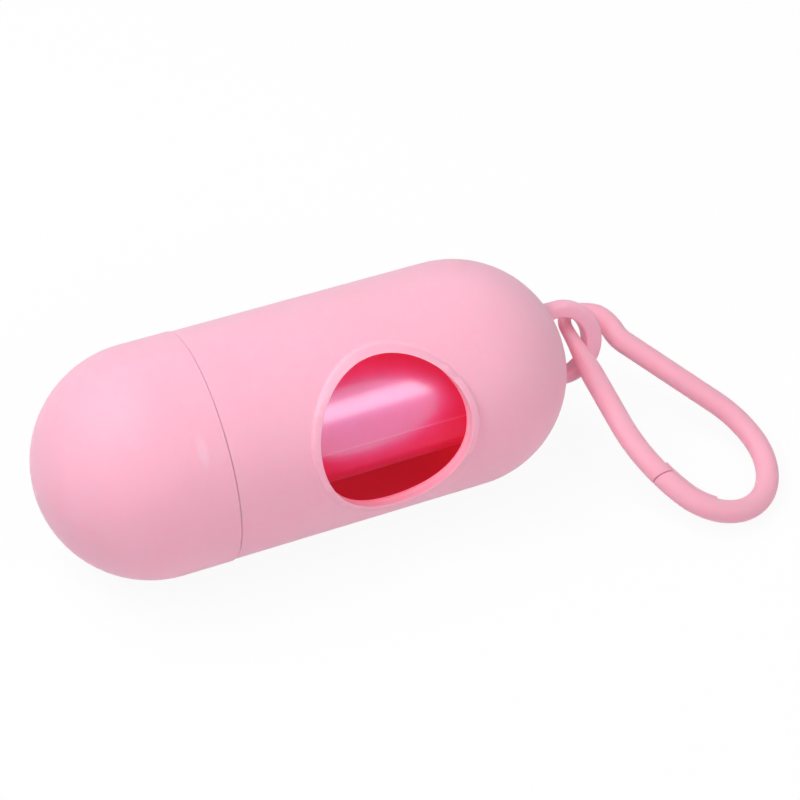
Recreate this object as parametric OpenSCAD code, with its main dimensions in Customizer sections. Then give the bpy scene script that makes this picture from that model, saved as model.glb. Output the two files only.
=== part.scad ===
// Capsule dispenser for a roll of small bags, with a spring clip through its ear.
// Millimetres. The origin is the middle of the capsule, on its axis.
// +X runs along the capsule to the ear, +Z is up as it lies, and the window looks to -Y.

/* [Capsule] */
// Outer diameter of the long shell
capsule_d = 36; // [32:0.5:44]
// Straight length between the centres of the two domes
barrel_len = 50; // [46:0.5:64]
// Wall of both shells
shell_wall = 1.8; // [1.6:0.1:2.4]
// Straight part of the cap, from its dome to the seam
cap_straight = 8; // [7:0.5:12]
// How far the cap stands proud of the long shell, on the radius
cap_proud = 0.15; // [0.05:0.05:0.4]
// Gap between the cap's edge and the shoulder that it meets
seam_gap = 0.1; // [0.05:0.05:0.3]

/* [Window] */
// Clear diameter of the round window
window_d = 24.3; // [18:0.1:25]
// Distance of the window from the middle of the capsule
window_x = 8.35; // [6:0.05:11]
// How far the window looks above the horizontal, in degrees
window_tilt = 21.5; // [0:0.5:60]
// Width of the raised rim round the window
rim_w = 1.05; // [0.8:0.05:2.4]
// Height of the rim above the shell
rim_h = 0.55; // [0.2:0.05:1]

/* [Quarter-turn closure] */
// Length of the neck that goes into the cap
neck_len = 7; // [6:0.5:9]
// Wall of the neck
neck_wall = 0.9; // [0.7:0.05:1.1]
// Gap between the neck and the cap, on the radius
neck_gap = 0.1; // [0.05:0.05:0.2]
// Number of lugs inside the cap, with a slot in the neck for each
lug_count = 2; // [2:1:4]
// Arc that each lug covers, in degrees
lug_arc = 20; // [12:1:26]
// Width of a lug along the capsule
lug_w = 1.4; // [1:0.1:2]
// Distance from the cap's edge to the middle of a lug
lug_inset = 4; // [3:0.1:4.5]
// Height of a lug
lug_h = 0.7; // [0.5:0.05:0.8]
// Gap round a lug in its slot
lug_play = 0.3; // [0.2:0.05:0.5]
// Angle of the first lug above the front of the capsule, in degrees
lug_at = 42; // [0:1:60]
// Turn that locks the cap, in degrees
lock_turn = 28; // [20:1:40]

/* [Ear] */
// Thickness of the ear
ear_t = 3; // [2.6:0.1:3.6]
// Reach of the ear past the tip of the dome
ear_reach = 7.85; // [7:0.05:9]
// Bar at the end of the ear, which the clip hangs on
ear_bar = 2.85; // [2.2:0.05:3.2]
// Wall at each side of the ear's hole
ear_side = 2.3; // [1.2:0.1:3]
// Room that the clip's eye leaves free across the hole
ear_room = 6.9; // [6.5:0.1:8]
// Radius of the ear's edges
ear_round = 0.9; // [0.3:0.1:1.2]

/* [Clip] */
// Diameter of the clip's rod
rod_d = 3.7; // [3.4:0.05:4.2]
// Diameter of the rod where it is thinned through the ear
eye_rod_d = 2.2; // [1.9:0.1:2.6]
// Gap between the clip's eye and the bar of the ear
eye_play = 0.23; // [0.2:0.01:0.6]
// Distance of the small bend's centre from the middle of that bar, towards the dome
eye_shift = 0.28; // [0:0.02:0.4]
// Distance between the centres of the small and the wide bend
clip_len = 28.95; // [27:0.05:32]
// Radius of the wide bend, to the middle of the rod
end_bend_r = 10.45; // [9:0.05:11]
// Angle of the spine to the clip's middle line, in degrees
spine_angle = 18.05; // [15:0.05:20]
// Distance of the spine's line from the centre of the small bend
spine_off = 2.25; // [1.6:0.05:3]
// Radius of the wider bend at the back of the eye
back_bend_r = 5.55; // [4.5:0.05:7]
// Where the wider bend starts, as an angle round the small bend
back_from = 209; // [204:1:216]
// Share of the wider bend over which the rod gets its full thickness
back_thick = 0.6; // [0.4:0.05:0.8]
// Radius of the reverse bend behind the eye
waist_bend_r = 4.05; // [3:0.05:6]
// Radius of the shoulder between the spine and the wide bend
shoulder_bend_r = 16.85; // [15:0.05:24]
// Angle of the gate to the clip's middle line, in degrees
gate_angle = 19.25; // [16:0.05:21]
// Radius of the gate's long bend
gate_bend_r = 28.1; // [22:0.1:40]
// Length over which the gate thickens from its thin end
taper_len = 9.5; // [7:0.5:16]

/* [Clip joint] */
// Distance of the gate's living hinge from the end of the small bend
hinge_from_eye = 5; // [4:0.1:7]
// Gap round the ball that stands for the living hinge
hinge_gap = 0.05; // [0.03:0.01:0.1]
// Where the nose ends, as an angle past the end of the wide bend
nose_arc = 7.8; // [4:0.1:12]
// Slant of the nose's end face, in degrees
nose_slant = 21; // [16:1:30]
// Gap between the nose and the gate
nose_gap = 0.12; // [0.08:0.01:0.3]
// Thickness of the tongue that closes inside the nose
tongue_t = 1.1; // [0.8:0.1:1.6]
// How far the tongue stands proud of the rod on the inside
tongue_proud = 0.3; // [0:0.05:0.4]
// Reach of the tongue round the wide bend, in degrees
tongue_arc = 32; // [15:1:45]
// Width of the tongue
tongue_w = 2.4; // [1.8:0.1:3]
// Slope of the ramp where the tongue's groove runs out, in degrees
groove_slope = 32; // [20:1:36]

/* [Clip at rest] */
// Heading of the clip, turned from the capsule's axis, in degrees
clip_heading = -66.1; // [-75:0.05:-60]
// Downward slope of the clip, in degrees
clip_slope = 23.5; // [20:0.1:26]
// Roll of the clip about its own length, in degrees
clip_roll = -8.7; // [-12:0.05:-6]
// Distance of the small bend's centre behind the capsule's axis
clip_back = 2.21; // [2:0.01:2.5]
// Height of the small bend's centre above the capsule's axis
clip_up = -0.18; // [-0.4:0.01:0.2]

/* [Bag roll] */
// Length of the roll and of its core
roll_len = 60; // [50:1:64]
// Outer diameter of the wound bags
roll_d = 21.1; // [18:0.1:28]
// Outer diameter of the cardboard core
core_d = 13; // [10:0.5:16]
// Wall of the core
core_wall = 0.8; // [0.5:0.1:1.5]
// Gap between the core and the first turn, on the radius
core_gap = 0.05; // [0.03:0.01:0.2]
// Thickness of the outermost bag, folded flat
film_t = 0.2; // [0.1:0.05:0.4]
// Gap under the outermost bag, on the radius
film_gap = 0.06; // [0.04:0.01:0.2]
// Gap between the loose turn of the outermost bag and the wall
tail_gap = 0.3; // [0.2:0.05:1]
// Direction in which the loose turn touches the wall, in degrees from +Y
tail_at = -147; // [-160:1:0]
// Arc over which the loose turn leaves the roll, in degrees
tail_arc = 275; // [120:5:300]

/* [Hidden] */
$fn = 96;

pink = [0.976, 0.714, 0.784];
film_pink = [0.902, 0.353, 0.561];
cardboard = [0.780, 0.690, 0.580];

// Capsule
shell_r = capsule_d / 2;
bore_r = shell_r - shell_wall;
cap_r = shell_r + cap_proud;
dome_x = barrel_len / 2;
tip_x = dome_x + shell_r;
seam_x = cap_straight - dome_x;
neck_end_x = seam_x - neck_len;
neck_r = bore_r + neck_wall;
skirt_r = neck_r + neck_gap;
skirt_end_x = neck_end_x - seam_gap;
skirt_edge = min(0.25, (cap_r - skirt_r) / 3);
// Window
window_r = window_d / 2;
rim_r = window_r + rim_w;
// Closure
lug_x = seam_x - lug_inset;
lug_top_r = skirt_r - lug_h;
slot_w = lug_w + 2 * lug_play;
slot_play_arc = lug_play / neck_r * 180 / PI;
// Ear
ear_hole_r = (eye_rod_d + ear_room) / 2;
ear_hole_x = tip_x + ear_reach - ear_bar - ear_hole_r;
ear_r = ear_hole_r + ear_side;
ear_x = tip_x + ear_reach - ear_r;
ear_foot = shell_r - sqrt(pow(shell_r, 2) - pow(ear_r, 2)) + shell_wall / 2;
// Clip, in its own plane: the small bend's centre is the origin, the wide bend lies along +X
rod_r = rod_d / 2;
eye_rod_r = eye_rod_d / 2;
eye_bend_r = norm([ear_bar, ear_t]) / 2 + eye_rod_r + eye_play;
end_c = [clip_len, 0];
spine_dir = [cos(spine_angle), sin(spine_angle)];
spine_out = [-sin(spine_angle), cos(spine_angle)];
back_a = -back_from;
back_c = polar(eye_bend_r - back_bend_r, back_a);
waist_rise = spine_off + waist_bend_r - back_c * spine_out;
waist_run = back_c * spine_dir + sqrt(pow(back_bend_r + waist_bend_r, 2) - pow(waist_rise, 2));
waist_c = spine_out * (spine_off + waist_bend_r) + spine_dir * waist_run;
spine_start = spine_out * spine_off + spine_dir * waist_run;
shoulder_rise = spine_off - shoulder_bend_r - end_c * spine_out;
shoulder_run = sqrt(pow(shoulder_bend_r - end_bend_r, 2) - pow(shoulder_rise, 2));
shoulder_c = spine_out * (spine_off - shoulder_bend_r) + spine_dir * (end_c * spine_dir - shoulder_run);
spine_end = shoulder_c + spine_out * shoulder_bend_r;
gate_dir = [cos(gate_angle), -sin(gate_angle)];
gate_out = [-sin(gate_angle), -cos(gate_angle)];
gate_rise = eye_bend_r - gate_bend_r - end_c * gate_out;
gate_run = sqrt(pow(gate_bend_r - end_bend_r, 2) - pow(gate_rise, 2));
gate_c = gate_out * (eye_bend_r - gate_bend_r) + gate_dir * (end_c * gate_dir - gate_run);
gate_start = gate_out * eye_bend_r;
gate_end = gate_c + gate_out * gate_bend_r;
hinge_at = gate_start + gate_dir * hinge_from_eye;
taper_end = gate_start + gate_dir * min(taper_len, norm(gate_end - gate_start));
// Directions from the bend centres, in degrees
eye_a = bearing(gate_start);
waist_a = bearing(waist_c - back_c) - 360;
thick_a = back_a + (waist_a - back_a) * back_thick;
shoulder_a = bearing(spine_end - shoulder_c);
join_a = bearing(end_c - shoulder_c);
gate_a = bearing(gate_end - gate_c);
nose_a = bearing(end_c - gate_c);
cut_a = nose_a - nose_arc;
hinge_r = rod_r_at(hinge_at);
bend_step = 7.5;
rod_sides = 20;
tongue_rod_r = rod_r + tongue_proud;
cut_reach = 4 * rod_d;
cut_spare = rod_d / gate_bend_r * 180 / PI;
// Bag roll
roll_r = roll_d / 2;
core_r = core_d / 2;
film_start_r = roll_r + film_gap;
tail_r = sqrt(pow(bore_r, 2) - pow(max(roll_len / 2 - dome_x, 0), 2)) - tail_gap - film_t;
film_pitch = film_t + film_gap;
film_step = 5;

function bearing(v) = atan2(v.y, v.x);
// Radius of the gate's rod at a point on its straight part
function rod_r_at(p) = eye_rod_r + (rod_r - eye_rod_r) * norm(p - gate_start) / norm(taper_end - gate_start);
// Inner radius of the outermost bag after a turn of so many degrees
function film_r(turn) = film_start_r + film_pitch * min(turn, 360) / 360
    + (tail_r - film_start_r - film_pitch) * pow(max(turn - 360, 0) / tail_arc, 2)
    * (3 - 2 * max(turn - 360, 0) / tail_arc);
function polar(r, a) = [r * cos(a), r * sin(a)];

// Turns a solid made along +Z so that it runs along +X, with its own +X pointing down
module along_x() {
    rotate([0, 90, 0]) children();
}

// Stands its children on the axis of the window, which also squares the ear
module window_axis(x) {
    translate([x, 0, 0]) rotate([90 - window_tilt, 0, 0]) children();
}

// A cylinder along the capsule between two stations
module barrel(r, x0, x1) {
    translate([x0, 0, 0]) along_x() cylinder(r = r, h = x1 - x0);
}

// A closed capsule end: a dome and its barrel up to a station
module long_form(r, x0) {
    barrel(r, x0, dome_x);
    translate([dome_x, 0, 0]) along_x() sphere(r = r);
}

module cap_form(r, x1) {
    barrel(r, -dome_x, x1);
    intersection() {
        translate([-dome_x, 0, 0]) along_x() sphere(r = r);
        barrel(2 * r, -dome_x - 2 * r, x1);
    }
}

// Part of a ring round the capsule's axis, turned up from the front by an angle
module arc_block(r0, r1, x0, x1, from, arc) {
    translate([x0, 0, 0]) rotate([180 - from - arc, 0, 0]) rotate([90, 0, 90])
        rotate_extrude(angle = arc) translate([r0, 0]) square([r1 - r0, x1 - x0]);
}

module lug(i) {
    arc_block(lug_top_r, skirt_r + shell_wall / 4, lug_x - lug_w / 2, lug_x + lug_w / 2,
              lug_at - lug_arc / 2 + i * 360 / lug_count, lug_arc);
}

// The way in for a lug and the run that it turns into
module lug_slot(i) {
    from = lug_at - lug_arc / 2 - slot_play_arc + i * 360 / lug_count;
    arc = lug_arc + 2 * slot_play_arc;
    arc_block(bore_r - 1, neck_r + 1, neck_end_x - 1, lug_x + slot_w / 2, from, arc);
    arc_block(bore_r - 1, neck_r + 1, lug_x - slot_w / 2, lug_x + slot_w / 2, from, arc + lock_turn);
}

// A plate of rounded edge, round at its far end, that the hole is cut through
module ear_blank() {
    half = ear_t / 2;
    flat = half - ear_round;
    window_axis(ear_x) rotate_extrude() {
        translate([0, -flat]) square([ear_r, 2 * flat]);
        translate([0, -half]) square([ear_r - ear_round, ear_t]);
        for (s = [-1, 1]) translate([ear_r - ear_round, s * flat]) circle(r = ear_round, $fn = 48);
    }
    window_axis(tip_x - ear_foot) rotate([90, 0, 90]) linear_extrude(ear_x - tip_x + ear_foot) {
        square([2 * ear_r, 2 * flat], center = true);
        square([2 * (ear_r - ear_round), ear_t], center = true);
        for (s = [-1, 1], u = [-1, 1]) translate([u * (ear_r - ear_round), s * flat])
            circle(r = ear_round, $fn = 48);
    }
}

// The hole with its eased edges
module ear_hole() {
    ease = ear_round / 2;
    window_axis(ear_hole_x) {
        cylinder(r = ear_hole_r, h = 2 * ear_t, center = true);
        for (s = [0, 1]) mirror([0, 0, s]) translate([0, 0, ear_t / 2 - ease]) rotate_extrude() difference() {
            translate([ear_hole_r - ease, 0]) square([2 * ease, 2 * ease]);
            translate([ear_hole_r + ease, 0]) circle(r = ease, $fn = 48);
        }
    }
}

module ear() {
    difference() {
        ear_blank();
        difference() {
            ear_hole();
            long_form(shell_r - shell_wall / 2, seam_x);
        }
    }
}

module window_rim() {
    intersection() {
        window_axis(window_x) cylinder(r = rim_r, h = capsule_d);
        barrel(shell_r + rim_h, window_x - capsule_d, window_x + capsule_d);
    }
}

module body_shell() {
    color(pink) difference() {
        union() {
            long_form(shell_r, seam_x);
            barrel(neck_r, neck_end_x, seam_x + shell_wall);
            window_rim();
            ear();
        }
        barrel(bore_r, neck_end_x - 1, dome_x);
        translate([dome_x, 0, 0]) along_x() sphere(r = bore_r);
        window_axis(window_x) cylinder(r = window_r, h = capsule_d);
        for (i = [0 : lug_count - 1]) lug_slot(i);
    }
}

module cap() {
    color(pink) union() {
        difference() {
            cap_form(cap_r, seam_x - seam_gap);
            cap_form(bore_r, seam_x);
            barrel(skirt_r, skirt_end_x, seam_x);
            // the small round on the cap's edge
            translate([seam_x - seam_gap - skirt_edge, 0, 0]) along_x() rotate_extrude() difference() {
                translate([cap_r - skirt_edge, 0]) square([2 * skirt_edge, 2 * skirt_edge]);
                translate([cap_r - skirt_edge, 0]) circle(r = skirt_edge, $fn = 48);
            }
        }
        for (i = [0 : lug_count - 1]) lug(i);
    }
}

// Lays the clip's own plane where the clip rests
module clip_at_rest() {
    translate([tip_x + ear_reach - ear_bar / 2 - eye_shift, clip_back, clip_up])
        rotate([clip_roll, clip_slope, clip_heading]) children();
}

// Places along a path in the clip's plane: [x, y, heading, scale]
function arc_path(c, r, a0, a1, s0 = rod_r, s1 = rod_r) =
    let (n = max(2, ceil(abs(a1 - a0) / bend_step)), side = sign(a1 - a0))
    [for (i = [0 : n]) let (a = a0 + (a1 - a0) * i / n)
        [c.x + r * cos(a), c.y + r * sin(a), a + side * 90, s0 + (s1 - s0) * i / n]];
function spot(p, heading, s = rod_r) = [p.x, p.y, heading, s];
// A half ball that closes a path, from its tip to its widest place
function ball_path(p, heading, r) =
    [for (a = [15 : 15 : 90]) spot(p - r * cos(a) * [cos(heading), sin(heading)], heading, r * sin(a))];
// Outline of the rod, of radius 1
function rod_section() = [for (i = [0 : rod_sides - 1]) polar(1, (i + 0.5) * 360 / rod_sides)];

// A section carried along a path and closed at both ends
module sweep(path, section) {
    n = len(section);
    last = len(path) - 1;
    points = [for (s = path, q = section)
        [s.x - s[3] * q.x * sin(s.z), s.y + s[3] * q.x * cos(s.z), s[3] * q.y]];
    sides = [for (j = [0 : last - 1], i = [0 : n - 1]) let (a = j * n + i, b = j * n + (i + 1) % n)
        each [[a, a + n, b], [b, a + n, b + n]]];
    polyhedron(points, concat(sides, [[for (i = [0 : n - 1]) i], [for (i = [n - 1 : -1 : 0]) last * n + i]]));
}

// The side of the nose's slanted face on which the gate lies, set back by a gap
module gate_side(gap) {
    translate(gate_c + polar(gate_bend_r, cut_a)) rotate(cut_a - nose_slant)
        translate([-cut_reach, -2 * cut_reach - gap, -cut_reach]) cube(2 * cut_reach);
}

// The tongue along the inside of the rod, grown by a gap where the nose makes room for it.
// The groove in the nose then runs out on a ramp, so that the tongue's tip lifts clear.
module tongue(gap) {
    r = tongue_rod_r + gap;
    half = tongue_w / 2 + gap;
    edge = asin(half / r);
    depth = tongue_rod_r - tongue_proud - tongue_t - gap;
    crown = [for (i = [0 : 6]) polar(r, 180 + edge - i * edge / 3)];
    section = concat([[-depth, -half]], crown, [[-depth, half]]);
    to_degrees = 180 / PI / end_bend_r;
    tip_a = nose_a + tongue_arc + gap * to_degrees;
    rise = gap > 0 ? tongue_t + 2 * gap : 0;
    out_a = tip_a + rise / tan(groove_slope) * to_degrees;
    flipped = [for (q = section) [-q.x, q.y]];
    sweep(concat(
        arc_path(gate_c, gate_bend_r, cut_a - nose_slant / 3, nose_a, 1, 1),
        arc_path(end_c, end_bend_r, nose_a + bend_step, tip_a, 1, 1),
        gap > 0 ? [spot(end_c + polar(end_bend_r - rise, out_a), out_a + 90, 1)] : []
    ), flipped);
}

module clip() {
    rod_path = concat(
        [spot(hinge_at, 180 - gate_angle, hinge_r)],
        arc_path([0, 0], eye_bend_r, eye_a, back_a, eye_rod_r, eye_rod_r),
        arc_path(back_c, back_bend_r, back_a - bend_step / 2, thick_a, eye_rod_r, rod_r),
        arc_path(back_c, back_bend_r, thick_a - bend_step / 2, waist_a),
        arc_path(waist_c, waist_bend_r, waist_a + 180 + bend_step, bearing(spine_start - waist_c)),
        arc_path(shoulder_c, shoulder_bend_r, shoulder_a, join_a),
        arc_path(end_c, end_bend_r, join_a - bend_step, nose_a),
        arc_path(gate_c, gate_bend_r, nose_a - bend_step / 2, cut_a - cut_spare)
    );
    color(pink) clip_at_rest() difference() {
        sweep(rod_path, rod_section());
        translate(hinge_at) sphere(r = hinge_r + hinge_gap);
        intersection() {
            gate_side(0);
            translate(gate_c + polar(gate_bend_r, cut_a)) cube(3 * rod_d, center = true);
        }
        tongue(nose_gap);
    }
}

module clip_gate() {
    rod_path = concat(
        ball_path(hinge_at, -gate_angle, hinge_r),
        [spot(taper_end, -gate_angle)],
        arc_path(gate_c, gate_bend_r, gate_a, nose_a)
    );
    color(pink) clip_at_rest() {
        intersection() {
            sweep(rod_path, rod_section());
            gate_side(nose_gap);
        }
        tongue(0);
    }
}

module roll_core() {
    color(cardboard) translate([-roll_len / 2, 0, 0]) along_x() difference() {
        cylinder(r = core_r, h = roll_len);
        translate([0, 0, -1]) cylinder(r = core_r - core_wall, h = roll_len + 2);
    }
}

module bag_roll() {
    color(film_pink) translate([-roll_len / 2, 0, 0]) along_x() difference() {
        cylinder(r = roll_r, h = roll_len);
        translate([0, 0, -1]) cylinder(r = core_r + core_gap, h = roll_len + 2);
    }
}

// The outermost bag: one turn on the roll, then a loose turn that springs out to the wall
module first_bag() {
    turns = [0 : film_step : 360 + tail_arc];
    start = tail_at - tail_arc + 360;
    color(film_pink) translate([-roll_len / 2, 0, 0]) rotate([90, 0, 90]) linear_extrude(roll_len)
        polygon(concat(
            [for (t = turns) polar(film_r(t), start - t + tail_arc * 2)],
            [for (t = turns) let (b = 360 + tail_arc - t) polar(film_r(b) + film_t, start - b + tail_arc * 2)]
        ));
}

body_shell();
cap();
clip();
clip_gate();
roll_core();
bag_roll();
first_bag();
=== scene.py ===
"""Capsule dispenser for small bags, with a spring clip, dressed for a studio picture.

Lengths are written in millimetres and pass through mm() into metres.
The origin is the middle of the capsule; +X runs to the ear, +Z is up, the window looks to -Y.
"""
import math
import bpy
from mathutils import Matrix, Vector, noise


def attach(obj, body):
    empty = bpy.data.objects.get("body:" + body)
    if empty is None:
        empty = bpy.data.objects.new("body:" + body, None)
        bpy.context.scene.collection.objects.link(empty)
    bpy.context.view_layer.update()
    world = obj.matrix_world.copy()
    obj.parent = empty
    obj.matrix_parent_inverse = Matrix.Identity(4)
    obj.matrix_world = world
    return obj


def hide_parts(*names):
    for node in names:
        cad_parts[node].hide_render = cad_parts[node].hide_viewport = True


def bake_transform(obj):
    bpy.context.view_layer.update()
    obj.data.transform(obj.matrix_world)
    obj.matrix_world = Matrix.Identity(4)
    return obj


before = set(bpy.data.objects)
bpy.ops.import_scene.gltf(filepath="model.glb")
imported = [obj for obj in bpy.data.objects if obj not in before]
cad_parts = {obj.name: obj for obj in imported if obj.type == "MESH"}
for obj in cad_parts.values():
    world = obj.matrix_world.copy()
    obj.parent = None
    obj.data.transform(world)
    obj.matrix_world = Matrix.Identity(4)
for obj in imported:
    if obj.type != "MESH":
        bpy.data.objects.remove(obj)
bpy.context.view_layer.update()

# ---------------------------------------------------------------- sizes, in millimetres
SHELL_R = 18.0
BORE_R = 16.2
DOME_X = 25.0
SEAM_X = -17.0
TIP_X = 43.0
WINDOW_R = 12.15
WINDOW_X = 8.35
WINDOW_TILT = 21.5
ROLL_LEN = 60.0
ROLL_R = 10.55
CORE_R = 6.5
FILM_T = 0.2
FILM_GAP = 0.06
FILM_SEEN_T = 0.08
TAIL_GAP = 0.3
# degrees round the roll: the loose turn, its free edge and the weld
TAIL_ARC = 275
TAIL_AT = -147
WELD_AT = 173.4

ROD_R = 1.85
# keeps the round rod inside the one with flats that it stands for
ROD_FIT = 0.985
EYE_ROD_R = 1.1
EAR_REACH = 7.85
EAR_BAR = 2.85
EAR_T = 3.0
EYE_BEND_R = math.hypot(EAR_BAR, EAR_T) / 2 + EYE_ROD_R + 0.23
EYE_SHIFT = 0.28
CLIP_LEN = 28.95
END_BEND_R = 10.45
SPINE_ANGLE = 18.05
SPINE_OFF = 2.25
BACK_BEND_R = 5.55
BACK_FROM = 209.0
BACK_THICK = 0.6
WAIST_BEND_R = 4.05
SHOULDER_BEND_R = 16.85
GATE_ANGLE = 19.25
GATE_BEND_R = 28.1
TAPER_LEN = 9.5
NOSE_ARC = 7.8
NOSE_SLANT = 21.0
NOSE_GAP = 0.12
TONGUE_T = 1.1
TONGUE_PROUD = 0.3
TONGUE_ARC = 32.0
TONGUE_W = 2.4
GROOVE_SLOPE = 32.0


def mm(value):
    return value / 1000.0


def turn(degrees, axis):
    return Matrix.Rotation(math.radians(degrees), 4, axis)


def wave(degrees):
    return math.cos(math.radians(degrees)), math.sin(math.radians(degrees))


# ---------------------------------------------------------------- materials
def paint(hex_colour):
    """An sRGB hex colour as linear light, with full alpha."""
    channels = [int(hex_colour[i:i + 2], 16) / 255 for i in (1, 3, 5)]
    return tuple(c / 12.92 if c <= 0.04045 else ((c + 0.055) / 1.055) ** 2.4 for c in channels) + (1.0,)


def add(tree, kind, settings=(), **inputs):
    """One node with its settings; an input is a value, or a socket to link from."""
    node = tree.nodes.new("ShaderNode" + kind)
    for name, value in dict(settings).items():
        setattr(node, name, value)
    for name, value in inputs.items():
        key = int(name[1:]) if name[0] == "_" and name[1:].isdigit() else name.replace("_", " ")
        socket = node.inputs[key]
        if isinstance(value, bpy.types.NodeSocket):
            tree.links.new(value, socket)
        else:
            socket.default_value = value
    return node


def blank(name):
    material = bpy.data.materials.new(name)
    material.use_nodes = True
    material.node_tree.nodes.clear()
    return material, material.node_tree


def close(tree, shader):
    add(tree, "OutputMaterial", Surface=shader)


def moulded_pp(name, skin, inner, edge_mm, depth_mm, glow=0.0, marks=()):
    """Pigmented polypropylene, injection moulded in a lightly blasted tool.

    The skin is satin, the pigment a little uneven, and light enters the wall and comes out again
    close by, so shaded sides stay warm and thin edges glow.
    """
    material, tree = blank(name)
    place = add(tree, "TexCoord").outputs["Object"]
    # flow clouds in the pigment, about 14 mm across
    clouds = add(tree, "TexNoise", Vector=place, Scale=1000 / 14, Detail=3.0, Roughness=0.5)
    outside = add(tree, "Mix", dict(data_type="RGBA"), _0=clouds.outputs["Fac"],
                  _6=paint(skin), _7=paint(inner)).outputs[2]
    hollows = 0.0
    for centre, half, lighter in marks:
        # a mark from the mould: a soft oval that is sunk and drawn a little lighter; on the lug sinks the
        # lighter colour is a painted highlight
        offset = add(tree, "VectorMath", dict(operation="SUBTRACT"), _0=place, _1=[mm(v) for v in centre])
        ovals = add(tree, "VectorMath", dict(operation="DIVIDE"), _0=offset.outputs["Vector"],
                    _1=[mm(v) for v in half])
        reach = add(tree, "VectorMath", dict(operation="LENGTH"), _0=ovals.outputs["Vector"])
        near = add(tree, "MapRange", dict(interpolation_type="SMOOTHSTEP"), Value=reach.outputs["Value"],
                   From_Min=0.35, From_Max=1.15, To_Min=1.0, To_Max=0.0)
        share = add(tree, "Math", dict(operation="MULTIPLY"), _0=near.outputs["Result"], _1=lighter)
        outside = add(tree, "Mix", dict(data_type="RGBA"), _0=share.outputs["Value"], _6=outside,
                      _7=paint("#FFE6EE")).outputs[2]
        hollows = add(tree, "Math", dict(operation="SUBTRACT"), _0=hollows,
                      _1=near.outputs["Result"]).outputs["Value"]
    # blasted grain of 0.12 mm, drawn at 0.3 mm so that it shows
    grain = add(tree, "TexNoise", Vector=place, Scale=1000 / 0.3, Detail=2.0, Roughness=0.6)
    # slow waviness of the wall as it shrinks, about 9 mm across
    waves = add(tree, "TexNoise", Vector=place, Scale=1000 / 9, Detail=1.0, Roughness=0.4)
    soft_edge = add(tree, "Bevel", dict(samples=6), Radius=mm(edge_mm))
    sunk = add(tree, "Bump", Strength=0.5, Distance=mm(0.08), Height=hollows,
               Normal=soft_edge.outputs["Normal"])
    shrink = add(tree, "Bump", Strength=0.25, Distance=mm(0.06), Height=waves.outputs["Fac"],
                 Normal=sunk.outputs["Normal"])
    skin_bump = add(tree, "Bump", Strength=0.12, Distance=mm(0.02), Height=grain.outputs["Fac"],
                    Normal=shrink.outputs["Normal"])
    sheen_break = add(tree, "MapRange", Value=grain.outputs["Fac"], To_Min=0.46, To_Max=0.58)
    inside = 0.0
    if glow:
        # painted glow: emission on the inner faces stands in for the daylight that comes through the thin wall
        # and fills the inside with red.
        # The inner faces are told from the outer ones by their distance from the line between the two dome
        # centres
        split = add(tree, "SeparateXYZ", Vector=place)
        beside = add(tree, "Clamp", Value=split.outputs["X"], Min=mm(-DOME_X), Max=mm(DOME_X))
        past_end = add(tree, "Math", dict(operation="SUBTRACT"), _0=split.outputs["X"],
                       _1=beside.outputs["Result"])
        outward = add(tree, "CombineXYZ", X=past_end.outputs["Value"], Y=split.outputs["Y"],
                      Z=split.outputs["Z"])
        depth = add(tree, "VectorMath", dict(operation="LENGTH"), _0=outward.outputs["Vector"])
        through = add(tree, "MapRange", dict(interpolation_type="SMOOTHSTEP"), Value=depth.outputs["Value"],
                      From_Min=mm(BORE_R + 0.1), From_Max=mm(SHELL_R - 0.5), To_Min=glow, To_Max=0.0)
        # it fades towards the neck, which the cap covers
        past_neck = add(tree, "MapRange", dict(interpolation_type="SMOOTHSTEP"), Value=split.outputs["X"],
                        From_Min=mm(SEAM_X), From_Max=mm(SEAM_X + 6))
        inside = add(tree, "Math", dict(operation="MULTIPLY"), _0=through.outputs["Result"],
                     _1=past_neck.outputs["Result"]).outputs["Value"]
    # the emission is painted light: the inner faces glow red though they are no lamp
    plastic = add(tree, "BsdfPrincipled", Base_Color=outside, Roughness=sheen_break.outputs["Result"],
                  IOR=1.49, Specular_IOR_Level=0.4, Subsurface_Weight=1.0, Subsurface_Radius=(1.0, 0.5, 0.5),
                  Subsurface_Scale=mm(depth_mm), Emission_Color=paint("#FF4458"),
                  Emission_Strength=inside, Normal=skin_bump.outputs["Normal"])
    close(tree, plastic.outputs["BSDF"])
    return material


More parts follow.
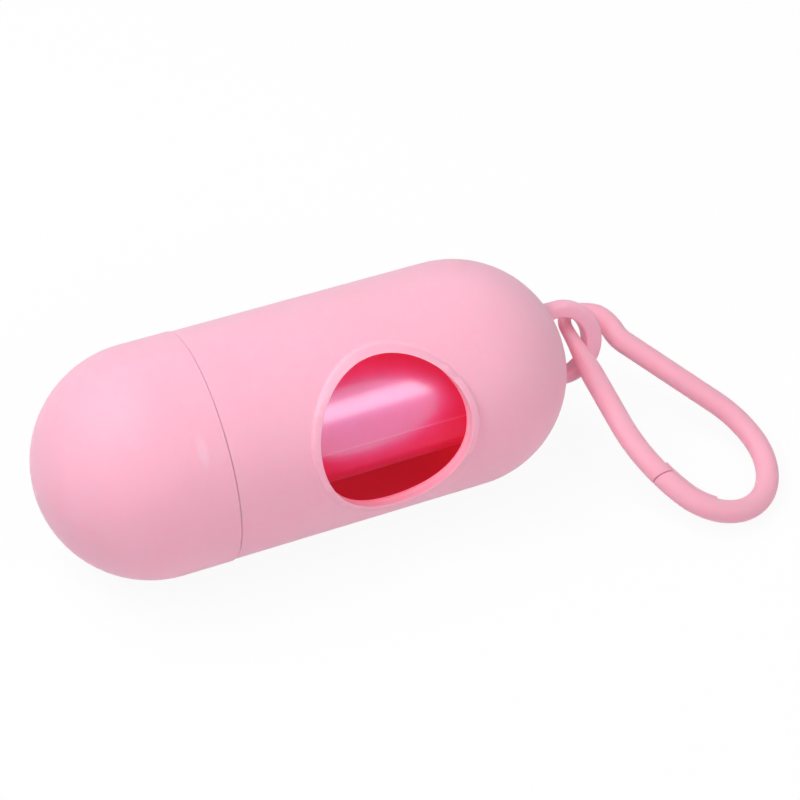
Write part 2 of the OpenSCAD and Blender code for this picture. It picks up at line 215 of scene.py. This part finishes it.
def bag_film(name):
    """High-density polyethylene film, blown and folded: pearly, with fine draw lines round the roll."""
    material, tree = blank(name)
    place = add(tree, "TexCoord").outputs["Object"]
    # draw lines of 0.1 mm along the web, drawn at 0.35 mm
    stretched = add(tree, "Mapping", Vector=place, Scale=(1000 / 0.35, 1000 / 6, 1000 / 6))
    lines = add(tree, "TexNoise", Vector=stretched.outputs["Vector"], Scale=1.0, Detail=3.0, Roughness=0.6)
    # soft dents where the layers below don't lie flat, about 5 mm across
    dents = add(tree, "TexNoise", Vector=place, Scale=1000 / 5, Detail=2.0, Roughness=0.5)
    spread = add(tree, "MapRange", Value=dents.outputs["Fac"], From_Min=0.3, From_Max=0.7)
    tint = add(tree, "Mix", dict(data_type="RGBA"), _0=spread.outputs["Result"],
               _6=paint("#E81A54"), _7=paint("#EE346E"))
    # painted shade and light: the loose turn against the wall is one layer with red light from the wall at its
    # back, and its colour is drawn a deeper red for that
    flat = add(tree, "VectorMath", dict(operation="MULTIPLY"), _0=place, _1=(0.0, 1.0, 1.0))
    from_axis = add(tree, "VectorMath", dict(operation="LENGTH"), _0=flat.outputs["Vector"])
    loose = add(tree, "MapRange", dict(interpolation_type="SMOOTHSTEP"), Value=from_axis.outputs["Value"],
                From_Min=mm(12.0), From_Max=mm(14.0))
    colour = add(tree, "Mix", dict(data_type="RGBA"), _0=loose.outputs["Result"], _6=tint.outputs[2],
                 _7=paint("#E81C34")).outputs[2]
    # painted glow: emission stands in for that light coming through the film, and a little of it through the
    # roll's edge
    painted_film_glow = add(tree, "MapRange", Value=loose.outputs["Result"], To_Min=0.035, To_Max=0.07)
    # the bag's bottom weld crosses the web, so it runs along the roll: a line 0.6 mm wide, raised by a bump
    # and drawn paler
    split = add(tree, "SeparateXYZ", Vector=place)
    round_roll = add(tree, "Math", dict(operation="ARCTAN2"), _0=split.outputs["Z"], _1=split.outputs["Y"])
    beside = add(tree, "Math", dict(operation="SUBTRACT"), _0=round_roll.outputs["Value"],
                 _1=math.radians(WELD_AT))
    away = add(tree, "Math", dict(operation="ABSOLUTE"), _0=beside.outputs["Value"])
    weld = add(tree, "MapRange", dict(interpolation_type="SMOOTHSTEP"), Value=away.outputs["Value"],
               From_Min=0.005, From_Max=0.03, To_Min=1.0, To_Max=0.0)
    paler = add(tree, "Math", dict(operation="MULTIPLY"), _0=weld.outputs["Result"], _1=0.18)
    colour = add(tree, "Mix", dict(data_type="RGBA"), _0=paler.outputs["Value"], _6=colour,
                 _7=paint("#FFC8E4")).outputs[2]
    dent_bump = add(tree, "Bump", Strength=0.35, Distance=mm(0.08), Height=dents.outputs["Fac"])
    weld_bump = add(tree, "Bump", Strength=0.6, Distance=mm(0.06), Height=weld.outputs["Result"],
                    Normal=dent_bump.outputs["Normal"])
    line_bump = add(tree, "Bump", Strength=0.5, Distance=mm(0.015), Height=lines.outputs["Fac"],
                    Normal=weld_bump.outputs["Normal"])
    # mica in the film lifts its reflection above bare polyethylene's 1.54, and gives it a pearly
    # sheen with lavender in it
    film = add(tree, "BsdfPrincipled", Base_Color=colour, Roughness=0.46, IOR=2.15,
               Specular_IOR_Level=1.0, Specular_Tint=paint("#E6B0FF"),
               Subsurface_Weight=0.6, Subsurface_Radius=(1.0, 0.2, 0.4), Subsurface_Scale=mm(0.25),
               Sheen_Weight=0.2, Sheen_Roughness=0.35, Sheen_Tint=paint("#FFB4E6"),
               Coat_Weight=1.0, Coat_Roughness=0.22, Coat_IOR=1.95, Coat_Tint=paint("#FFF4FA"),
               # this emission is painted light, not a lamp
               Emission_Color=paint("#FF5A70"), Emission_Strength=painted_film_glow.outputs["Result"],
               Normal=line_bump.outputs["Normal"])
    close(tree, film.outputs["BSDF"])
    return material


def paper_tube(name):
    """Grey-brown paperboard wound in a spiral: matt, with fibres and a dark line at each butt of the ply."""
    material, tree = blank(name)
    place = add(tree, "TexCoord").outputs["Object"]
    # fibres of 2.5 by 0.3 mm, lying along the wound ply
    fibre_map = add(tree, "Mapping", Vector=place, Rotation=(0.0, 0.0, 0.6),
                    Scale=(1000 / 2.5, 1000 / 0.3, 1000 / 0.3))
    fibres = add(tree, "TexNoise", Vector=fibre_map.outputs["Vector"], Scale=1.0, Detail=4.0, Roughness=0.65)
    spread = add(tree, "MapRange", Value=fibres.outputs["Fac"], From_Min=0.25, From_Max=0.8)
    ply = add(tree, "Mix", dict(data_type="RGBA"), _0=spread.outputs["Result"],
              _6=paint("#B89F82"), _7=paint("#D8C4A8")).outputs[2]
    # the ply's butt joint runs round the tube once in 32 mm
    split = add(tree, "SeparateXYZ", Vector=place)
    round_tube = add(tree, "Math", dict(operation="ARCTAN2"), _0=split.outputs["Z"], _1=split.outputs["Y"])
    turns = add(tree, "Math", dict(operation="DIVIDE"), _0=round_tube.outputs["Value"], _1=2 * math.pi)
    travel = add(tree, "Math", dict(operation="MULTIPLY_ADD"), _0=split.outputs["X"], _1=1000 / 32,
                 _2=turns.outputs["Value"])
    phase = add(tree, "Math", dict(operation="FRACT"), _0=travel.outputs["Value"])
    butt = add(tree, "Math", dict(operation="LESS_THAN"), _0=phase.outputs["Value"], _1=0.012)
    tint = add(tree, "Mix", dict(data_type="RGBA"), _0=butt.outputs["Value"], _6=ply,
               _7=paint("#8A7358")).outputs[2]
    bump = add(tree, "Bump", Strength=0.4, Distance=mm(0.05), Height=fibres.outputs["Fac"])
    board = add(tree, "BsdfPrincipled", Base_Color=tint, Roughness=0.88, IOR=1.5,
                Normal=bump.outputs["Normal"])
    close(tree, board.outputs["BSDF"])
    return material


# the cap shows sinks where its two lugs stand inside, each with a painted highlight, and the point at its pole
# where the plastic came in
CAP_MARKS = (((-21.0, -13.5, 12.1), (1.0, 3.0, 3.0), 0.18), ((-21.0, 13.5, -12.1), (1.0, 3.0, 3.0), 0.18),
             ((-43.15, 0.0, 0.0), (0.8, 0.8, 0.8), 0.5))
shell_plastic = moulded_pp("satin_moulded_polypropylene_shell", "#FABACF", "#F7B3C8", 0.15, 0.6, glow=0.3)
cap_plastic = moulded_pp("satin_moulded_polypropylene_cap", "#FABACF", "#F7B3C8", 0.15, 0.6, marks=CAP_MARKS)
# painted light: the rim's plastic is a paler copy of the shell's, for the light that the thin raised rim lets
# through
rim_plastic = moulded_pp("satin_moulded_polypropylene_rim", "#FFC1D5", "#FDBBCF", 0.15, 0.6, glow=0.3)
clip_plastic = moulded_pp("smooth_moulded_polypropylene_rod", "#F7B6C8", "#F5B0C4", 0.2, 0.4)
film = bag_film("pearly_blown_polyethylene_film")
board = paper_tube("spiral_wound_paperboard")


# ---------------------------------------------------------------- making meshes
def in_scene(name, data):
    thing = bpy.data.objects.new(name, data)
    bpy.context.scene.collection.objects.link(thing)
    return thing


def smooth(mesh, degrees):
    """Shades the mesh smooth, but for edges sharper than so many degrees."""
    mesh.polygons.foreach_set("use_smooth", [True] * len(mesh.polygons))
    mesh.set_sharp_from_angle(angle=math.radians(degrees))


def piece(name, points, faces, material, slot, smooth_angle=40):
    mesh = bpy.data.meshes.new(name)
    mesh.from_pydata([tuple(p) for p in points], [], faces)
    mesh.validate()
    smooth(mesh, smooth_angle)
    mesh.materials.append(material)
    thing = in_scene(name, mesh)
    return thing


def skin_rings(rings, closed_ring=True, close_start=False, close_end=False, loop=False):
    """Points and faces of a skin over rings that all have the same number of points."""
    count = len(rings[0])
    points = [p for ring in rings for p in ring]
    faces = []
    spans = len(rings) if loop else len(rings) - 1
    for j in range(spans):
        k = (j + 1) % len(rings)
        for i in range(count if closed_ring else count - 1):
            n = (i + 1) % count
            faces.append((j * count + i, k * count + i, k * count + n, j * count + n))
    if close_start:
        faces.append(tuple(range(count)))
    if close_end:
        faces.append(tuple((len(rings) - 1) * count + i for i in range(count - 1, -1, -1)))
    return points, faces


def with_shape(thing, modifier_kind, **settings):
    """Adds a modifier and bakes it into the piece's own mesh."""
    modifier = thing.modifiers.new("shape", modifier_kind)
    for name, value in settings.items():
        setattr(modifier, name, value)
    seen = thing.evaluated_get(bpy.context.evaluated_depsgraph_get())
    mesh = bpy.data.meshes.new_from_object(seen)
    thing.modifiers.clear()
    thing.data = mesh
    return thing


# ---------------------------------------------------------------- the clip's line, in its own plane
def polar(r, degrees):
    c, s = wave(degrees)
    return Vector((r * c, r * s))


def bearing(v):
    return math.degrees(math.atan2(v.y, v.x))


END_C = Vector((CLIP_LEN, 0.0))
SPINE_DIR = polar(1, SPINE_ANGLE)
SPINE_OUT = polar(1, SPINE_ANGLE + 90)
BACK_A = -BACK_FROM
BACK_C = polar(EYE_BEND_R - BACK_BEND_R, BACK_A)
WAIST_RISE = SPINE_OFF + WAIST_BEND_R - BACK_C.dot(SPINE_OUT)
WAIST_RUN = BACK_C.dot(SPINE_DIR) + math.sqrt((BACK_BEND_R + WAIST_BEND_R) ** 2 - WAIST_RISE ** 2)
WAIST_C = SPINE_OUT * (SPINE_OFF + WAIST_BEND_R) + SPINE_DIR * WAIST_RUN
SPINE_START = SPINE_OUT * SPINE_OFF + SPINE_DIR * WAIST_RUN
SHOULDER_RISE = SPINE_OFF - SHOULDER_BEND_R - END_C.dot(SPINE_OUT)
SHOULDER_RUN = math.sqrt((SHOULDER_BEND_R - END_BEND_R) ** 2 - SHOULDER_RISE ** 2)
SHOULDER_C = SPINE_OUT * (SPINE_OFF - SHOULDER_BEND_R) + SPINE_DIR * (END_C.dot(SPINE_DIR) - SHOULDER_RUN)
SPINE_END = SHOULDER_C + SPINE_OUT * SHOULDER_BEND_R
GATE_DIR = polar(1, -GATE_ANGLE)
GATE_OUT = polar(1, -GATE_ANGLE - 90)
GATE_RISE = EYE_BEND_R - GATE_BEND_R - END_C.dot(GATE_OUT)
GATE_RUN = math.sqrt((GATE_BEND_R - END_BEND_R) ** 2 - GATE_RISE ** 2)
GATE_C = GATE_OUT * (EYE_BEND_R - GATE_BEND_R) + GATE_DIR * (END_C.dot(GATE_DIR) - GATE_RUN)
GATE_START = GATE_OUT * EYE_BEND_R
GATE_END = GATE_C + GATE_OUT * GATE_BEND_R
EYE_A = bearing(GATE_START)
WAIST_A = bearing(WAIST_C - BACK_C) - 360
THICK_A = BACK_A + (WAIST_A - BACK_A) * BACK_THICK
SHOULDER_A = bearing(SPINE_END - SHOULDER_C)
JOIN_A = bearing(END_C - SHOULDER_C)
GATE_A = bearing(GATE_END - GATE_C)
NOSE_A = bearing(END_C - GATE_C)
CUT_A = NOSE_A - NOSE_ARC
EYE_SPLIT_A = -180.0
CLIP_PLACE = (Matrix.Translation((TIP_X + EAR_REACH - EAR_BAR / 2 - EYE_SHIFT, 2.21, -0.18))
              @ turn(-66.1, "Z") @ turn(23.5, "Y") @ turn(-8.7, "X"))


def on_clip(x, y, z=0.0):
    p = CLIP_PLACE @ Vector((x, y, z))
    return Vector((mm(p.x), mm(p.y), mm(p.z)))


def arc(centre, r, a0, a1, s0=ROD_R, s1=ROD_R, step=2.5):
    """Stations [x, y, heading, radius] along an arc."""
    count = max(2, math.ceil(abs(a1 - a0) / step))
    side = 90 if a1 > a0 else -90
    found = []
    for i in range(count + 1):
        t = i / count
        a = a0 + (a1 - a0) * t
        p = centre + polar(r, a)
        found.append((p.x, p.y, a + side, s0 + (s1 - s0) * (3 * t * t - 2 * t ** 3)))
    return found


def straight(p0, p1, s0=ROD_R, s1=ROD_R, count=8):
    heading = bearing(p1 - p0)
    found = []
    for i in range(count + 1):
        t = i / count
        p = p0.lerp(p1, t)
        found.append((p.x, p.y, heading, s0 + (s1 - s0) * (3 * t * t - 2 * t ** 3)))
    return found


def rod_ring(station, sides=40, lean=0.0, scale=1.0, shift=0.0):
    """A round ring at a station; lean tips it so that its left side goes ahead."""
    x, y, heading, r = station
    c, s = wave(heading)
    ring = []
    for i in range(sides):
        u, w = polar(r * ROD_FIT * scale, i * 360 / sides)
        ahead = shift + u * math.tan(math.radians(lean))
        ring.append(on_clip(x - u * s + ahead * c, y + u * c + ahead * s, w))
    return ring


def clean(stations):
    """Drops stations that repeat the one before."""
    kept = [stations[0]]
    for s in stations[1:]:
        if math.hypot(s[0] - kept[-1][0], s[1] - kept[-1][1]) > 0.05:
            kept.append(s)
    return kept


def tongue_skin(gap, start_a, ramp_out):
    """The tongue on the inside of the rod, or with a gap the groove that it lies in."""
    r = ROD_R + TONGUE_PROUD + gap
    half = TONGUE_W / 2 + gap
    edge = math.degrees(math.asin(half / r))
    depth = ROD_R - TONGUE_T - gap
    back = [wave(edge * (i - 6) / 6) for i in range(13)]
    section = [(depth, -half)] + [(r * c, r * s) for c, s in back] + [(depth, half)]
    per_mm = 180 / math.pi / END_BEND_R
    tip_a = NOSE_A + TONGUE_ARC + gap * per_mm
    stations = arc(GATE_C, GATE_BEND_R, start_a, NOSE_A) + arc(END_C, END_BEND_R, NOSE_A + 2, tip_a)
    rings = []
    for x, y, heading, _ in stations:
        c, s = wave(heading)
        rings.append([on_clip(x - u * s, y + u * c, w) for u, w in section])
    if ramp_out:
        rise = TONGUE_T + 2 * gap
        out_a = tip_a + rise / math.tan(math.radians(GROOVE_SLOPE)) * per_mm
        p = END_C + polar(END_BEND_R - rise, out_a)
        c, s = wave(out_a + 90)
        rings.append([on_clip(p.x - u * s, p.y + u * c, w) for u, w in section])
    return skin_rings(rings, close_start=True, close_end=True)


def clip_frame():
    """The clip from the eye round the spine and the wide bend to the nose."""
    line = clean(
        arc(Vector((0, 0)), EYE_BEND_R, EYE_SPLIT_A, BACK_A, EYE_ROD_R, EYE_ROD_R, 5)
        + arc(BACK_C, BACK_BEND_R, BACK_A, THICK_A, EYE_ROD_R, ROD_R, 2)
        + arc(BACK_C, BACK_BEND_R, THICK_A, WAIST_A)
        + arc(WAIST_C, WAIST_BEND_R, WAIST_A + 180, bearing(SPINE_START - WAIST_C), step=4)
        + straight(SPINE_START, SPINE_END)
        + arc(SHOULDER_C, SHOULDER_BEND_R, SHOULDER_A, JOIN_A)
        + arc(END_C, END_BEND_R, JOIN_A, NOSE_A - 360 if JOIN_A < NOSE_A else NOSE_A)
        + arc(GATE_C, GATE_BEND_R, NOSE_A, CUT_A + 3.2))
    rings = [rod_ring(s) for s in line]
    tip = arc(GATE_C, GATE_BEND_R, NOSE_A, CUT_A)[-1]
    # the nose's face leans, and its edge is rounded by a quarter of a millimetre
    for scale, shift in ((1.0, -0.28), (0.985, -0.12), (0.94, -0.03), (0.86, 0.0)):
        rings.append(rod_ring(tip, lean=NOSE_SLANT, scale=scale, shift=shift))
    points, faces = skin_rings(rings, close_start=True, close_end=True)
    thing = piece("clip_frame", points, faces, clip_plastic, "clip_plastic")
    groove = piece("groove_cutter", *tongue_skin(NOSE_GAP, CUT_A - 4, True), clip_plastic, "clip_plastic")
    with_shape(thing, "BOOLEAN", operation="DIFFERENCE", object=groove, solver="EXACT")
    bpy.data.objects.remove(groove)
    smooth(thing.data, 35)
    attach(thing, "clip")
    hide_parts("clip")
    return thing


def clip_arm():
    """The thin springy side of the clip, from the eye to the gate's end and its tongue."""
    taper_end = GATE_START + GATE_DIR * min(TAPER_LEN, (GATE_END - GATE_START).length)
    line = clean(
        arc(Vector((0, 0)), EYE_BEND_R, EYE_SPLIT_A, EYE_A, EYE_ROD_R, EYE_ROD_R, 5)
        + straight(GATE_START, taper_end, EYE_ROD_R, ROD_R, 20)
        + straight(taper_end, GATE_END, count=4)
        + arc(GATE_C, GATE_BEND_R, GATE_A, CUT_A - 3.4))
    rings = [rod_ring(s) for s in line]
    tip = arc(GATE_C, GATE_BEND_R, GATE_A, CUT_A)[-1]
    for scale, shift in ((1.0, -0.34), (0.985, -0.2), (0.95, -0.14), (0.88, -NOSE_GAP)):
        rings.append(rod_ring(tip, lean=NOSE_SLANT, scale=scale, shift=shift))
    points, faces = skin_rings(rings, close_start=True, close_end=True)
    thing = piece("clip_arm", points, faces, clip_plastic, "clip_plastic")
    tongue = piece("tongue_blank", *tongue_skin(0.0, CUT_A - 3, False), clip_plastic, "clip_plastic")
    with_shape(tongue, "BEVEL", width=mm(0.15), segments=2, limit_method="ANGLE", angle_limit=math.radians(40))
    with_shape(thing, "BOOLEAN", operation="UNION", object=tongue, solver="EXACT")
    bpy.data.objects.remove(tongue)
    smooth(thing.data, 35)
    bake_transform(thing)
    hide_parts("clip_gate")
    return thing


# ---------------------------------------------------------------- the long shell
def round_window(section):
    """Points and faces of a closed section carried round the window: (out from the hole's edge, height)."""
    place = Matrix.Translation((WINDOW_X, 0, 0)) @ turn(90 - WINDOW_TILT, "X")
    rings = []
    steps = 144
    for i in range(steps):
        c, s = wave(i * 360 / steps)
        ring = []
        for out, height in section:
            r = WINDOW_R + out
            # where this line along the window's axis meets the shell, raised by the height
            base = math.sqrt((SHELL_R + height) ** 2 - (r * s) ** 2)
            p = place @ Vector((r * c, r * s, base))
            ring.append(Vector((mm(p.x), mm(p.y), mm(p.z))))
        rings.append(ring[::-1])
    return skin_rings(rings, loop=True)


def true_normals(mesh):
    """Gives the corners on the round and domed walls the walls' own normals, so no facet shows."""
    normals = []
    for polygon in mesh.polygons:
        for corner in polygon.loop_indices:
            p = mesh.vertices[mesh.loops[corner].vertex_index].co
            out = p - Vector((min(max(p.x, mm(-DOME_X)), mm(DOME_X)), 0.0, 0.0))
            found = Vector((0.0, 0.0, 0.0))
            for r, side in ((SHELL_R, 1), (BORE_R, -1)):
                normal = out.normalized() * side
                if abs(out.length - mm(r)) < mm(0.02) and normal.dot(polygon.normal) > 0.98:
                    found = normal
            normals.append(found)
    mesh.normals_split_custom_set(normals)


# closed sections round the window, as out from the hole's edge and height over the shell
RIM_PLANE = [(-0.6, 3.0), (-0.6, -0.8), (0.4, -0.8), (0.7, -0.35), (0.95, 0.03), (1.25, 0.03), (1.5, 0.03),
             (1.5, 3.0)]
SOFT_RIM = [(-0.01, -1.79), (-0.01, -1.2), (-0.01, -0.7), (0.02, -0.4), (0.08, -0.13), (0.18, 0.11),
            (0.31, 0.3), (0.46, 0.44), (0.62, 0.52), (0.77, 0.52), (0.9, 0.44), (1.0, 0.31), (1.07, 0.18),
            (1.15, 0.08), (1.26, 0.02), (1.42, -0.04), (1.42, -0.5), (0.8, -1.3), (0.2, -1.79)]


def long_shell():
    """The long shell, with the square rim planed off and a soft round rim that lines the window."""
    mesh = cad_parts["body_shell"].data.copy()
    mesh.materials.clear()
    mesh.materials.append(shell_plastic)
    thing = in_scene("long_shell", mesh)
    plane = piece("rim_plane", *round_window(RIM_PLANE), shell_plastic, "shell_plastic")
    rim = piece("soft_rim", *round_window(SOFT_RIM), rim_plastic, "shell_plastic", 60)
    with_shape(thing, "BOOLEAN", operation="DIFFERENCE", object=plane, solver="EXACT")
    with_shape(thing, "BOOLEAN", operation="UNION", object=rim, solver="EXACT", material_mode="TRANSFER")
    for tool in (plane, rim):
        bpy.data.objects.remove(tool)
    smooth(thing.data, 40)
    true_normals(thing.data)
    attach(thing, "body")
    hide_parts("body_shell")
    return thing


# ---------------------------------------------------------------- the roll
def film_radius(degrees):
    """Inner radius of the outermost bag after a turn of so many degrees."""
    start = ROLL_R + FILM_GAP
    pitch = FILM_T + FILM_GAP
    tail_r = math.sqrt(BORE_R ** 2 - (ROLL_LEN / 2 - DOME_X) ** 2) - TAIL_GAP - FILM_T
    loose = max(degrees - 360, 0) / TAIL_ARC
    return start + pitch * min(degrees, 360) / 360 + (tail_r - start - pitch) * loose ** 2 * (3 - 2 * loose)


def wound_bags():
    """The bags under the outermost one: a wound tube whose ends show the folded layers."""
    around, layers = 128, 14
    pitch = (ROLL_R - CORE_R - 0.05) / layers
    rings = []

    def end_profile(sign):
        found = []
        for k in range(layers * 4 + 1):
            found.append((CORE_R + 0.05 + k * pitch / 4, sign))
        return found

    profile = end_profile(-1)
    lengthwise = [(ROLL_R, -1 + 2 * j / 40) for j in range(1, 40)]
    profile = profile + lengthwise + end_profile(1)[::-1]
    for i in range(around):
        a = i * 360 / around
        c, s = wave(a)
        ring = []
        for r, side in profile:
            x = side * ROLL_LEN / 2
            if abs(side) == 1:
                # each layer's edge stands a little differently from its neighbour's
                spiral = (r - CORE_R) / pitch - i / around
                layer = math.floor(spiral)
                crest = 1 - abs(2 * (spiral - layer) - 1)
                uneven = 0.22 * noise.noise(Vector((layer * 3.7, a / 60, side)))
                x -= side * (0.42 - 0.34 * crest - uneven)
            ring.append(Vector((mm(x), mm(r * c), mm(r * s))))
        rings.append(ring)
    points, faces = skin_rings(rings, closed_ring=False, loop=True)
    thing = piece("wound_bags", points, faces, film, "bag_film", 50)
    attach(thing, "roll")
    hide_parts("bag_roll")
    return thing


def outer_bag():
    """The outermost bag: one turn on the roll, then a loose turn sprung out to the wall."""
    start = TAIL_AT - TAIL_ARC + 360
    # the torn edge lies just under the window's lip
    total = 360 + TAIL_ARC - 11
    along, lengthwise = 240, 60
    rings = []
    for i in range(along + 1):
        t = total * i / along
        loose = max(t - 360, 0) / TAIL_ARC
        ring = []
        for j in range(lengthwise + 1):
            x = -ROLL_LEN / 2 + ROLL_LEN * j / lengthwise
            # the free edge was torn along its perforation: a tab every 2 mm
            torn = 1.4 if i == along and j % 2 else 0.0
            c, s = wave(start - t + torn + 2 * TAIL_ARC)
            # the film lies tight on the roll and buckles a little where it's loose
            buckle = noise.noise(Vector((x / 14, t / 40, 3.1))) * 0.45 * loose
            seat = noise.noise(Vector((x / 9, t / 30, 7.7))) * 0.03
            # between the domes the loose turn springs right out to the straight wall
            bore = math.sqrt(BORE_R ** 2 - max(abs(x) - DOME_X, 0) ** 2)
            spring = (bore - 0.2 - film_radius(360 + TAIL_ARC) - FILM_T / 2) * min(1, 1.3 * loose) ** 3
            r = film_radius(t) + FILM_T / 2 + buckle * (1 - loose) + seat + spring
            ring.append(Vector((mm(x), mm(r * c), mm(r * s))))
        rings.append(ring)
    points, faces = skin_rings(rings, closed_ring=False)
    thing = piece("outer_bag", points, faces, film, "bag_film", 70)
    with_shape(thing, "SOLIDIFY", thickness=mm(FILM_SEEN_T), offset=0.0)
    smooth(thing.data, 60)
    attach(thing, "roll")
    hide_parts("first_bag")
    return thing


# ---------------------------------------------------------------- dressing the CAD nodes
def dress(node, material):
    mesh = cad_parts[node].data
    mesh.materials.clear()
    mesh.materials.append(material)


long_shell()
dress("cap", cap_plastic)
dress("roll_core", board)
clip_frame()
clip_arm()
wound_bags()
outer_bag()


# ---------------------------------------------------------------- floor, lamps and camera
def sees_background(tree):
    """1 where the background is seen straight, in a reflection or through clear parts, else 0."""
    path = add(tree, "LightPath")
    mirrored = add(tree, "Math", dict(operation="MAXIMUM"), _0=path.outputs["Is Glossy Ray"],
                   _1=path.outputs["Is Transmission Ray"])
    return add(tree, "Math", dict(operation="MAXIMUM"), _0=path.outputs["Is Camera Ray"],
               _1=mirrored.outputs["Value"]).outputs["Value"]


def floor_paper():
    """White paper sweep: it fades to plain white in the picture but keeps the object's faint shadow."""
    material, tree = blank("white_paper_sweep")
    paper = add(tree, "BsdfDiffuse", Color=paint("#F2F2F2"), Roughness=1.0)
    glow = add(tree, "Emission", Color=(1.0, 1.0, 1.0, 1.0), Strength=1.0)
    seen = add(tree, "Math", dict(operation="MULTIPLY"), _0=sees_background(tree), _1=0.92)
    both = add(tree, "MixShader", Fac=seen.outputs["Value"], _1=paper.outputs["BSDF"],
               _2=glow.outputs["Emission"])
    close(tree, both.outputs["Shader"])
    return material


def floor():
    z = mm(-18.16)
    side = mm(3000)
    mesh = bpy.data.meshes.new("floor")
    corners = [(-side, -side, z), (side, -side, z), (side, side, z), (-side, side, z)]
    mesh.from_pydata(corners, [], [(0, 1, 2, 3)])
    mesh.materials.append(floor_paper())
    thing = in_scene("floor", mesh)


def surroundings(level):
    """White studio walls: plain white in the picture and in reflections, a soft level of light otherwise."""
    world = bpy.data.worlds.new("studio")
    bpy.context.scene.world = world
    world.use_nodes = True
    tree = world.node_tree
    tree.nodes.clear()
    strength = add(tree, "Mix", dict(data_type="FLOAT"), _0=sees_background(tree), _2=level, _3=1.0)
    light = add(tree, "Background", Color=(1.0, 1.0, 1.0, 1.0), Strength=strength.outputs[0])
    add(tree, "OutputWorld", Surface=light.outputs["Background"])


def lamp(name, place, target, width, height, watts):
    light = bpy.data.lights.new(name, "AREA")
    light.shape = "RECTANGLE"
    light.size, light.size_y = mm(width), mm(height)
    light.energy = watts
    thing = in_scene(name, light)
    thing.location = [mm(v) for v in place]
    aim = Vector([mm(v) for v in target]) - thing.location
    thing.rotation_mode = "QUATERNION"
    thing.rotation_quaternion = aim.to_track_quat("-Z", "Y")


def camera():
    data = bpy.data.cameras.new("camera")
    data.lens = 117.0
    data.sensor_width = 36.0
    data.clip_start, data.clip_end = 0.01, 20.0
    thing = in_scene("camera", data)
    right = (0.91794, -0.39672, 0.0)
    up = (0.26530, 0.61386, 0.74350)
    back = (-0.29496, -0.68249, 0.66874)
    place = (-104.03, -278.03, 270.01)
    thing.matrix_world = Matrix([[right[i], up[i], back[i], mm(place[i])] for i in range(3)] + [[0, 0, 0, 1]])
    bpy.context.scene.camera = thing


camera()
floor()
surroundings(0.40)
lamp("overhead_softbox", (-200, 40, 400), (-10, 0, 0), 420, 320, 1.6)
lamp("front_softbox", (95, -350, 265), (8, 0, 0), 240, 200, 0.43)

bpy.context.scene.view_settings.view_transform = "Standard"
